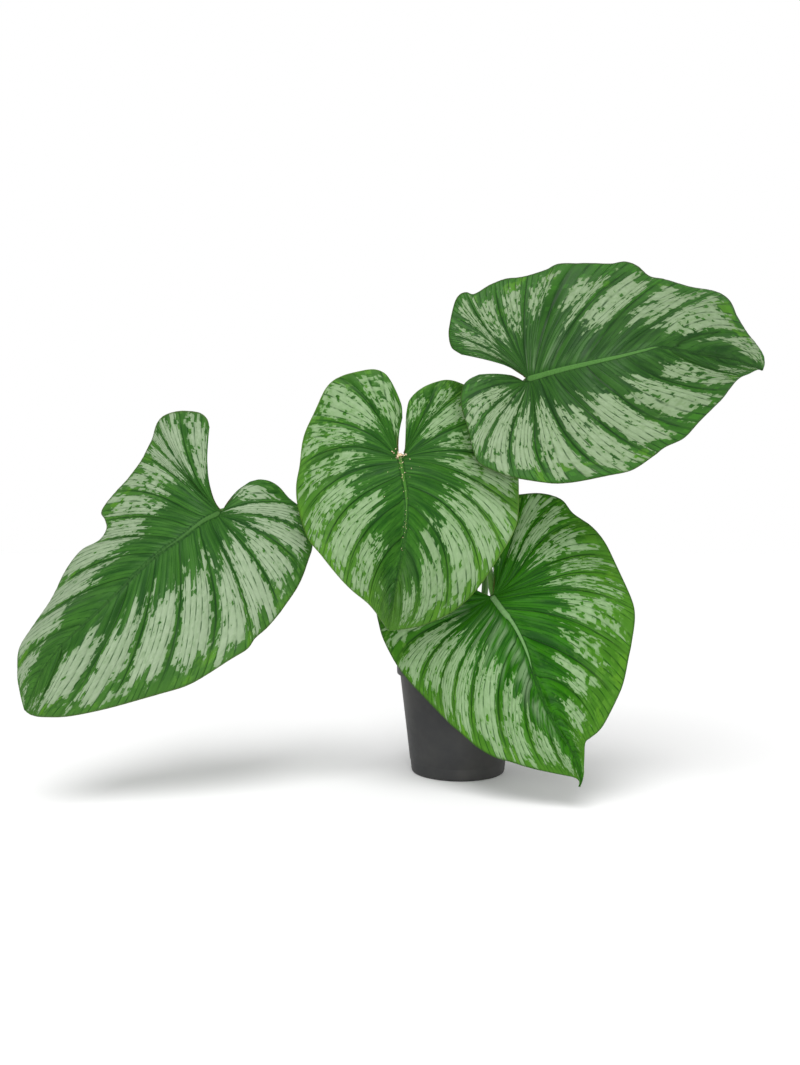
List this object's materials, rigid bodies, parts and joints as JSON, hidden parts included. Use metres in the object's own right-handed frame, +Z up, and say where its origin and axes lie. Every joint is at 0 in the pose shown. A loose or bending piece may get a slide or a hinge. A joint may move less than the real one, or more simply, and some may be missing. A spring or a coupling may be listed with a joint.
{
  "type": "potted creeping philodendron with large heart-shaped leaves",
  "caption": "House plant in a round pot: a creeping stem on the soil carries long stalks with large, silver-marked, heart-shaped leaves that face the front.",
  "frame": {"origin": "middle of the pot's flat underside, on the surface that the pot stands on", "axes": "+Z up along the pot's axis, -Y the front that the leaves face, +X to the right as seen from the front"},
  "size_m": [1.2564, 0.4715, 0.9284],
  "materials": {
    "pot": "satin",
    "soil": "matte",
    "stem": "satin",
    "petiole": "satin",
    "blade": "satin",
    "growing_tip": "satin",
    "root": "matte"
  },
  "bodies": {
    "root": {"pot": "pot", "soil": "soil", "creeping_stem": "stem", "petiole_middle": "petiole", "blade_middle": "blade", "petiole_left": "petiole", "blade_left": "blade", "petiole_right": "petiole", "blade_right": "blade", "petiole_front": "petiole", "blade_front": "blade", "growing_tip": "growing_tip", "anchor_root_1": "root", "anchor_root_2": "root", "anchor_root_3": "root", "anchor_root_4": "root", "anchor_root_5": "root"}
  },
  "joints": []
}
